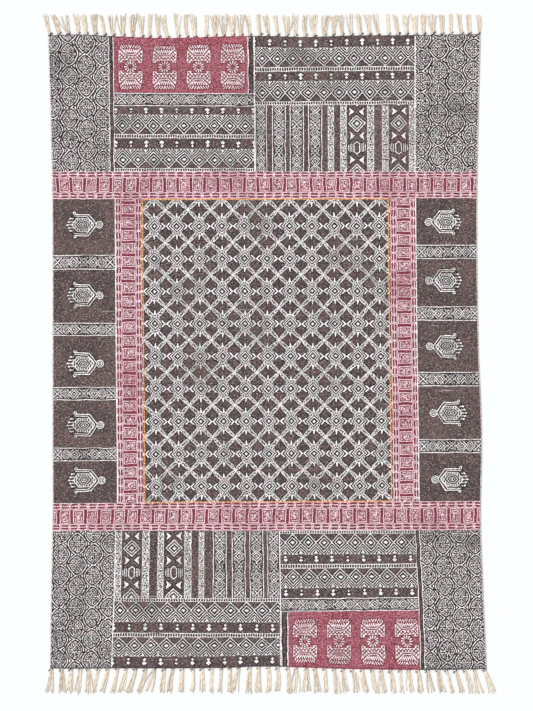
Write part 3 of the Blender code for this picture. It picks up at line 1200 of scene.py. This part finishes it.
def make_cloth(materials, warp):
    names = list(materials)
    order = {name: index for index, name in enumerate(names)}
    xs = [edge for item in zones for edge in (item.area.left, item.area.right)]
    ys = [edge for item in zones for edge in (item.area.low, item.area.high)]
    ys += [-END + RIM, END - RIM]
    lines_x, merged_x = grid_lines(xs)
    lines_y, merged_y = grid_lines(ys)
    laid = [snapped(item, merged_x, merged_y) for item in reversed(zones)]
    wide, tall = len(lines_x), len(lines_y)

    tops, bottoms = [], []
    for j, y in enumerate(lines_y):
        for i, x in enumerate(lines_x):
            place = warp(x, y)
            on_rim = i in (0, wide - 1) or j in (0, tall - 1)
            half = (RIM_THICKNESS if on_rim else CLOTH_THICKNESS) / 2
            middle = CLOTH_THICKNESS / 2 + ripple(*place)
            tops.append((*place, middle + half))
            bottoms.append((*place, middle - half))

    faces, slots, prints, weaves, bakes, batches = [], [], [], [], [], []
    low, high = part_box("cloth")

    def bake_place(point, above):
        """The whole printed face fills most of the map, and the rest lies in a strip over it."""
        u = (point[0] - low.x) / (high.x - low.x)
        v = (point[1] - low.y) / (high.y - low.y)
        return (u, v * FACE_SHARE) if above else (u, REST_START + v * (1 - REST_START))

    def add_face(corners, slot, print_places, tone, above):
        faces.append(corners)
        slots.append(slot)
        points = [tops[k] if k < len(tops) else bottoms[k - len(tops)] for k in corners]
        prints.extend(print_places)
        weaves.extend((point[0], point[1]) for point in points)
        bakes.extend(bake_place(point, above) for point in points)
        batches.extend([(tone, 0.0)] * len(corners))

    count = wide * tall
    blank = [(0.0, 0.0)] * 4
    under = order["underside"]
    for j in range(tall - 1):
        for i in range(wide - 1):
            middle = ((lines_x[i] + lines_x[i + 1]) / 2, (lines_y[j] + lines_y[j + 1]) / 2)
            item = zone_at(*middle, laid)
            steps = [(i, j), (i + 1, j), (i + 1, j + 1), (i, j + 1)]
            corners = [b * wide + a for a, b in steps]
            places = [print_place(item, lines_x[a], lines_y[b]) for a, b in steps]
            add_face(corners, order[item.pattern], places, item.tone, True)
            add_face([k + count for k in reversed(corners)], under, blank, PLAIN_TONE, False)
    rim = list(range(wide))
    rim += [j * wide + wide - 1 for j in range(1, tall)]
    rim += [(tall - 1) * wide + i for i in range(wide - 2, -1, -1)]
    rim += [j * wide for j in range(tall - 2, 0, -1)]
    for first, second in zip(rim, rim[1:] + rim[:1]):
        corners = [first, first + count, second + count, second]
        add_face(corners, order["selvedge"], blank, PLAIN_TONE, False)

    maps = {"Print": prints, "Weave": weaves, "Batch": batches, "OFBake": bakes}
    cloth = make_piece("cloth_printed", tops + bottoms, faces, maps, [materials[n] for n in names])
    cloth.data.polygons.foreach_set("material_index", slots)
    return cloth


def make_piece(name, points, faces, maps, materials):
    """Makes a smooth-shaded mesh object with these UV maps, given for each corner of each face."""
    mesh = bpy.data.meshes.new(name)
    mesh.from_pydata(points, [], faces)
    for label, places in maps.items():
        layer = mesh.uv_layers.new(name=label)
        layer.data.foreach_set("uv", [number for place in places for number in place])
    for material in materials:
        mesh.materials.append(material)
    mesh.polygons.foreach_set("use_smooth", [True] * len(mesh.polygons))
    mesh.update()
    return add_object(name, mesh)


def add_object(name, data):
    made = bpy.data.objects.new(name, data)
    bpy.context.scene.collection.objects.link(made)
    return made


# ---------------------------------------------------------------------------------------------
# Thread and yarn.
# ---------------------------------------------------------------------------------------------


class Strands:
    """Collects closed tubes, with their UV maps, for one piece."""

    def __init__(self):
        self.points = []
        self.faces = []
        self.maps = {"Yarn": [], "Stain": [], "Tone": []}

    def tube(self, path, sides, width, flatness=1.0, stain=lambda share: (0.0, 0.0), tone=0.6):
        """Adds a tube along a path. width and stain are functions of the share of its length."""
        first = len(self.points)
        length = 0.0
        lengths = [0.0]
        for before, after in zip(path, path[1:]):
            length += (after - before).length
            lengths.append(length)
        side = Vector((0.0, 1.0, 0.0))
        for index, point in enumerate(path):
            ahead = path[min(index + 1, len(path) - 1)] - path[max(index - 1, 0)]
            ahead.normalize()

            # The side stays level, and keeps its last direction where the path is upright.
            level = Vector((ahead.y, -ahead.x, 0.0))
            if level.length > 0.01:
                side = -level.normalized() if index and level.dot(side) < 0 else level.normalized()
            up = side.cross(ahead)
            radius = width(lengths[index] / length) / 2
            for step in range(sides):
                angle = 2 * math.pi * step / sides
                lift = up * math.sin(angle) * flatness
                self.points.append(point + (side * math.cos(angle) + lift) * radius)
        for index in range(len(path) - 1):
            stains = [stain(lengths[k] / length) for k in (index, index + 1)]
            for step in range(sides):
                low = first + index * sides
                after = (step + 1) % sides
                self.faces.append((low + step, low + after, low + sides + after, low + sides + step))
                turns = ((step, 0), (step + 1, 0), (step + 1, 1), (step, 1))
                self.maps["Yarn"] += [(lengths[index + k], turn / sides) for turn, k in turns]
                self.maps["Stain"] += [stains[k] for _, k in turns]
                self.maps["Tone"] += [(tone, 0.0)] * 4
        ring = list(range(first, first + sides))
        self.close(ring[::-1], 0.0, stain(0.0), tone)
        last = len(self.points) - sides
        self.close([last + step for step in range(sides)], length, stain(1.0), tone)

    def close(self, ring, along, stain, tone):
        """Closes an end of a tube with one flat face."""
        self.faces.append(tuple(ring))
        self.maps["Yarn"] += [(along, 0.0)] * len(ring)
        self.maps["Stain"] += [stain] * len(ring)
        self.maps["Tone"] += [(tone, 0.0)] * len(ring)


# The running stitch's place and lengths, in millimetres, and its own width and height, in metres.
STITCH_INSET = (4.0, 1.2)
STITCH_ORANGE = 8.0
STITCH_YELLOW = 3.4
STITCH_PLAY = (0.8, 1.25)
STITCH_WANDER = 0.7
STITCH_GAP = 0.6
STITCH_STEPS = 6
STITCH_SIDES = 8
STITCH_WIDTH = 0.0036
STITCH_HEIGHT = 0.0011
STITCH_SUNK = 0.0002


def make_stitches(field, warp, materials):
    """Running stitch round the field: long orange stitches with short pale yellow ones between."""
    left, right = field.left + STITCH_INSET[0], field.right - STITCH_INSET[0]
    low, high = field.low + STITCH_INSET[1], field.high - STITCH_INSET[1]
    loop = [(left, low), (right, low), (right, high), (left, high), (left, low)]
    draw = random.Random(31)
    collected = [Strands(), Strands()]
    for (x0, y0), (x1, y1) in zip(loop, loop[1:]):
        run = math.hypot(x1 - x0, y1 - y0)
        at = 0.0
        is_orange = True
        while at < run:
            usual = STITCH_ORANGE if is_orange else STITCH_YELLOW
            end = min(at + usual * draw.uniform(*STITCH_PLAY), run)
            wander = [draw.uniform(-STITCH_WANDER, STITCH_WANDER) for _ in range(2)]
            strands = collected[0 if is_orange else 1]
            add_stitch(strands, warp, (x0, y0), (x1, y1), (at / run, end / run), wander)
            at = end + STITCH_GAP
            is_orange = not is_orange
    return join_strands("running_stitch", collected, materials)


def add_stitch(strands, warp, start, end, part_of_run, wander):
    """One flattened stitch that rises out of the cloth and goes back into it."""
    low, high = part_of_run
    horizontal = abs(end[0] - start[0]) > abs(end[1] - start[1])
    path = []
    for step in range(STITCH_STEPS + 1):
        share = step / STITCH_STEPS
        part = low + (high - low) * share
        x = start[0] + (end[0] - start[0]) * part
        y = start[1] + (end[1] - start[1]) * part
        off = wander[0] + (wander[1] - wander[0]) * share
        place = warp(x, y + off) if horizontal else warp(x + off, y)
        rise = math.sin(math.pi * share) ** 0.5 * STITCH_HEIGHT * 0.75
        path.append(Vector((*place, CLOTH_THICKNESS + ripple(*place) + rise - STITCH_SUNK)))

    def width(share):
        return STITCH_WIDTH * (0.55 + 0.45 * math.sin(math.pi * share) ** 0.6)

    strands.tube(path, STITCH_SIDES, width, flatness=STITCH_HEIGHT / STITCH_WIDTH)


def join_strands(name, collected, materials):
    """Makes one piece of several collections of strands, one material to each."""
    points, faces, slots = [], [], []
    maps = {"Yarn": [], "Stain": [], "Tone": []}
    for slot, strands in enumerate(collected):
        first = len(points)
        points += strands.points
        faces += [tuple(k + first for k in face) for face in strands.faces]
        slots += [slot] * len(strands.faces)
        for label in maps:
            maps[label] += strands.maps[label]
    made = make_piece(name, points, faces, maps, materials)
    made.data.polygons.foreach_set("material_index", slots)
    return made


# The cord twined along the end of the cloth, in metres. Each knot pulls it a little outwards.
CORD_WIDTH = 0.0019
CORD_OUT = 0.0009
CORD_HEIGHT = 0.0015
CORD_TURN = 0.0006
CORD_TURN_PITCH = 0.0075
CORD_PULL = 0.0011
CORD_PULL_REACH = 0.005
CORD_SIDES = 5
CORD_STEPS_PER_KNOT = 6

# The turns of yarn round a tassel's neck, and the ends of thread that stick out of it, in metres.
KNOT_TURNS = 3
KNOT_STEPS = 12
KNOT_YARN = 0.0022
KNOT_SIDES = 5
END_COUNT = 4
END_STEPS = 3
END_HEIGHT = 0.0038
END_DROP = 0.0022
END_WIDTH = 0.0021
END_TAPER = 0.0008
END_SIDES = 4

# The yarns of a tassel, which follow the solid's locks: how many, how thick, and how loose they lie.
YARNS_PER_LOCK = 2
YARN_STEPS = 15
YARN_WIDTH = 0.0036
YARN_TWIST = 0.042
PLY_SIDES = 4
YARN_PLAY = 0.0015
YARN_APART = 0.0022
YARN_WAVE = 0.0013
FAN_RANGE = (0.6, 1.8)
SWAY = 0.0028
STRAY_CHANCE = 0.14
STRAY_PLAY = 0.007
STAIN_REACH = 0.009

# The yarns start at this share of the knot's length, this far apart, and lie in two low layers.
ROOT_SHARE = 0.4
ROOT_APART = (0.0018, 0.0008)
LAYER_LEVELS = (0.0012, 0.0022)
LAYER_PLAY = 0.0006

# Where red ink has run into the fringe, across the rug.
RED_ENDS = {"top": (-0.424, -0.056), "bottom": (0.058, 0.424)}


def knot_places(fringe, draw):
    """Where the knots lie across the rug, as the solids have them."""
    left, right = corner("left", fringe.column)[0], corner("right", fringe.column)[0]
    pitch = (right - left - KNOT_WIDTH) / (fringe.knots - 1)
    first = left + KNOT_WIDTH / 2
    places = [first + pitch * i for i in range(fringe.knots)]
    inner = [place + draw.uniform(-PITCH_PLAY, PITCH_PLAY) * pitch for place in places[1:-1]]
    return [places[0]] + inner + [places[-1]]


def redness(fringe, across):
    low, high = RED_ENDS[fringe.column]
    return 1.0 if low < across < high else 0.0


def make_fringe(fringe, material):
    """A twined edge cord, and at each place a knot with its twisted yarns."""
    draw = random.Random(fringe.seed)
    yarn_draw = random.Random(fringe.seed + 100)
    places = knot_places(fringe, draw)
    end_draw = random.Random(fringe.seed + 200)
    strands = Strands()
    add_edge_cord(strands, fringe, places)
    for across in places:
        along = end_edge(fringe.column, across) + fringe.outward * (CUT_GAP + STRIP_WIDTH)
        add_knot(strands, fringe, across, along, yarn_draw)
        add_ends(strands, fringe, across, along, end_draw)
        add_yarns(strands, fringe, across, along, draw, yarn_draw)
    return join_strands(fringe.name + "_yarn", [strands], [material])


def add_edge_cord(strands, fringe, places):
    """Two picks twined round the warps at the end of the cloth, drawn out towards each knot."""
    left, right = corner("left", fringe.column)[0], corner("right", fringe.column)[0]
    count = CORD_STEPS_PER_KNOT * fringe.knots

    def stain(share):
        return 1.0, redness(fringe, left + (right - left) * share)

    for phase in (0.0, math.pi):
        path = []
        for step in range(count + 1):
            across = left + (right - left) * step / count
            near = min(abs(across - place) for place in places)
            pull = CORD_PULL * math.exp(-((near / CORD_PULL_REACH) ** 2))
            turn = phase + across / CORD_TURN_PITCH * math.pi
            out = CUT_GAP + CORD_OUT + pull + CORD_TURN * math.cos(turn)
            along = end_edge(fringe.column, across) + fringe.outward * out
            path.append(placed(across, along, CORD_HEIGHT + CORD_TURN * math.sin(turn)))
        strands.tube(path, CORD_SIDES, lambda share: CORD_WIDTH, stain=stain)


def add_knot(strands, fringe, across, along, draw):
    """A hitched knot: three turns of yarn that cross over the tassel's neck."""
    red = redness(fringe, across)
    size = draw.uniform(0.65, 1.0)
    tilt = draw.uniform(-0.35, 0.35)
    dye = draw.uniform(0.35, 0.95)
    side = draw.choice((-1, 1, 1)) * fringe.outward
    half_width, half_height = KNOT_WIDTH / 2 - 0.0012, KNOT_HEIGHT / 2 - 0.0011
    for turn in range(KNOT_TURNS):
        path = []
        for step in range(KNOT_STEPS + 1):
            angle = 2 * math.pi * step / KNOT_STEPS
            x = math.cos(angle) * half_width * size
            y = KNOT_LENGTH * (0.12 + 0.26 * turn) + x * (tilt + 0.35 * (turn - 1))
            z = KNOT_HEIGHT / 2 + math.sin(angle) * half_height
            path.append(placed(across + x, along + fringe.outward * y, z))

        def stain(share, level=dye - 0.25 * turn):
            facing = math.cos(2 * math.pi * share) * side
            return level + 0.35 * facing, red

        strands.tube(path, KNOT_SIDES, lambda share: KNOT_YARN, stain=stain)


def add_ends(strands, fringe, across, along, draw):
    """Short dyed ends of weft thread that stick out of one side of the knot."""
    red = redness(fringe, across)
    dark = draw.uniform(0.75, 1.2)

    def width(share):
        return END_WIDTH - END_TAPER * share

    for _ in range(END_COUNT):
        start = Vector((draw.uniform(-0.0015, 0.0010), KNOT_LENGTH * draw.uniform(0.25, 0.7), END_HEIGHT))
        run = Vector((draw.uniform(0.004, 0.0095), draw.uniform(-0.0005, 0.0055), -END_DROP))
        path = []
        for step in range(END_STEPS + 1):
            point = start + run * (step / END_STEPS)
            x, y = across + fringe.outward * point.x, along + fringe.outward * point.y
            path.append(placed(x, y, point.z))
        strands.tube(path, END_SIDES, width, stain=lambda share: (dark, red))


def add_yarns(strands, fringe, across, start_along, draw, yarn_draw):
    """The tassel's yarns, which leave the knot together and follow the solid's leaning locks."""
    along = start_along + fringe.outward * KNOT_LENGTH
    play = draw.uniform(-LEAN_PLAY, LEAN_PLAY)
    lean = between(LEANS, "across", fringe.column, across) + play
    bow = draw.uniform(-BOW_PLAY, BOW_PLAY)
    spread = LOCK_SPREAD * draw.uniform(*SPREAD_RANGE)
    length = abs(fringe.tips - along) * draw.uniform(*LENGTH_RANGE)
    red = redness(fringe, across)
    locks = [draw.uniform(*LENGTH_RANGE) * length for _ in range(LOCKS_PER_KNOT)]
    fan = yarn_draw.uniform(*FAN_RANGE)
    sway = yarn_draw.gauss(0.0, SWAY)
    for order, lock_length in enumerate(locks):
        reach = (order - (LOCKS_PER_KNOT - 1) / 2) * spread * fan
        for yarn in range(YARNS_PER_LOCK):
            own_length = (lock_length + KNOT_LENGTH * (1 - ROOT_SHARE)) * yarn_draw.uniform(0.93, 1.06)
            stray = STRAY_PLAY if yarn_draw.random() < STRAY_CHANCE else 0.0
            own_reach = reach + (yarn - 0.5) * YARN_APART + yarn_draw.gauss(0.0, YARN_PLAY + stray) + sway
            level = LAYER_LEVELS[yarn % 2] + yarn_draw.uniform(0.0, LAYER_PLAY)
            wave = yarn_draw.uniform(-YARN_WAVE, YARN_WAVE)
            wave_at = yarn_draw.uniform(0.0, math.pi)
            phase = yarn_draw.uniform(0.0, 2 * math.pi)
            root = (order - 1) * ROOT_APART[0] + (yarn - 0.5) * ROOT_APART[1]
            line = []
            for step in range(YARN_STEPS + 1):
                share = step / YARN_STEPS
                side = root + (own_reach - root) * share**SPREAD_EASE
                x = across + lean * share + bow * math.sin(math.pi * share) + side
                x += wave * math.sin(2 * math.pi * share + wave_at) * share
                y = start_along + fringe.outward * (KNOT_LENGTH * ROOT_SHARE + own_length * share)
                drop = level + (KNOT_HEIGHT * 0.42 - level) * max(0.0, 1 - share * 7)
                line.append(placed(x, y, drop))
            add_plies(strands, line, own_length, phase, red, yarn_draw)


def add_plies(strands, line, length, phase, red, draw):
    """Two plies twisted round each other along a line, a little open at the tip."""
    fray = draw.uniform(0.2, 1.3)
    thickness = draw.uniform(0.8, 1.1)
    tone = draw.uniform(0.35, 1.0)
    for ply in range(2):
        path = []
        for step, point in enumerate(line):
            share = step / YARN_STEPS
            angle = phase + ply * math.pi + 2 * math.pi * length * share / YARN_TWIST
            open_up = 1.0 + fray * max(0.0, share - 0.82) * 5.0
            off = YARN_WIDTH * 0.24 * open_up
            lift = max(point.z + math.sin(angle) * off, YARN_WIDTH * 0.33)
            path.append(Vector((point.x + math.cos(angle) * off, point.y, lift)))

        def width(share):
            return YARN_WIDTH * 0.58 * thickness * (1.0 - 0.35 * max(0.0, share - 0.85) / 0.15)

        def stain(share):
            return max(0.0, 1.0 - (KNOT_LENGTH * ROOT_SHARE + share * length) / STAIN_REACH), red

        strands.tube(path, PLY_SIDES, width, stain=stain, tone=tone)


# ---------------------------------------------------------------------------------------------
# The stage.
# ---------------------------------------------------------------------------------------------

# The camera looks straight down. The longer side of its view takes in this much of the floor.
CAMERA_PLACE = (-0.0086, -0.0055)
CAMERA_HEIGHT = 6.0
VISIBLE_HEIGHT = 1.9659
SENSOR = 36.0

FLOOR_HALF = 40.0
FLOOR_LEVEL = -0.0001
FLOOR_TINTS = ((0.808, 0.827, 0.832), (0.818, 0.837, 0.842))

# The light from the upper left, as the sun's strength, breadth and tilt, and the white around.
LIGHT_STRENGTH = 2.3
LIGHT_BREADTH = 34
LIGHT_TILT = (-28, -24)
SURROUNDING = (0.985, 0.99, 1.0)
SURROUNDING_STRENGTH = 0.62


def make_floor():
    material, tree, shader = new_material("floor_paint")
    place = tree.nodes.new("ShaderNodeTexCoord")
    level = eased(cloud(tree, place.outputs["Object"], scale=90.0, detail=3.0), 0.3, 0.7)
    colour = mixed(tree, level, *[opaque(tint) for tint in FLOOR_TINTS])
    give(tree, shader.inputs["Base Color"], colour)
    shader.inputs["Roughness"].default_value = 0.9
    shader.inputs["Specular IOR Level"].default_value = 0.0
    points = [(x * FLOOR_HALF, y * FLOOR_HALF, 0.0) for x, y in ((-1, -1), (1, -1), (1, 1), (-1, 1))]
    floor = make_piece("floor", points, [(0, 1, 2, 3)], {}, [material])
    floor.location.z = FLOOR_LEVEL
    return floor


def make_light():
    """One broad soft light from the upper left, and an even white surrounding."""
    sun = bpy.data.lights.new("broad_light", "SUN")
    sun.energy = LIGHT_STRENGTH
    sun.angle = math.radians(LIGHT_BREADTH)
    made = add_object("broad_light", sun)
    made.rotation_euler = (math.radians(LIGHT_TILT[0]), math.radians(LIGHT_TILT[1]), 0.0)
    world = bpy.data.worlds.new("surrounding")
    world.use_nodes = True
    background = world.node_tree.nodes["Background"]
    background.inputs["Color"].default_value = opaque(SURROUNDING)
    background.inputs["Strength"].default_value = SURROUNDING_STRENGTH
    bpy.context.scene.world = world
    bpy.context.scene.view_settings.view_transform = "Standard"

    # The denoiser takes the finest printed lines for noise and wipes them.
    bpy.context.scene.cycles.use_denoising = False


def make_camera():
    camera = bpy.data.cameras.new("camera")
    camera.sensor_width = SENSOR
    camera.lens = SENSOR * CAMERA_HEIGHT / VISIBLE_HEIGHT
    made = add_object("camera", camera)
    made.location = (*CAMERA_PLACE, CAMERA_HEIGHT)
    bpy.context.scene.camera = made


# The yarns' and threads' darker and lighter colours. The painted shade on the sides of each tube and the
# painted highlight on its top move the colour between them, with the fibres and each yarn's tone.
YARN_TINTS = ((0.50, 0.40, 0.30), (0.93, 0.84, 0.69))
YARN_STAINS = ((0.10, 0.075, 0.07), (0.33, 0.06, 0.085))
ORANGE_TINTS = ((0.72, 0.20, 0.04), (0.88, 0.33, 0.08))
YELLOW_TINTS = ((0.86, 0.66, 0.30), (0.92, 0.76, 0.45))


def main():
    lay_ends()
    field = lay_middle()
    lay_selvedges()
    weave = make_weave()
    hand_place = make_hand_place()
    cotton = make_printed_cotton(weave)
    materials = {
        name: make_printed(name, pattern, hand_place, cotton) for name, pattern in PATTERNS.items()
    }
    warp = Warp()
    cloth = make_cloth(materials, warp)
    threads = [make_yarn("thread_orange", ORANGE_TINTS), make_yarn("thread_yellow", YELLOW_TINTS)]
    stitches = make_stitches(field, warp, threads)
    yarn = make_yarn("cream_yarn", YARN_TINTS, YARN_STAINS)
    fringes = [make_fringe(fringe, yarn) for fringe in FRINGES]
    floor = make_floor()
    make_light()
    make_camera()

    for piece in [cloth, stitches] + fringes:
        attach(piece, BODY)
    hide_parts("cloth")
    for piece, fringe in zip(fringes, FRINGES):
        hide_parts(fringe.name)


main()
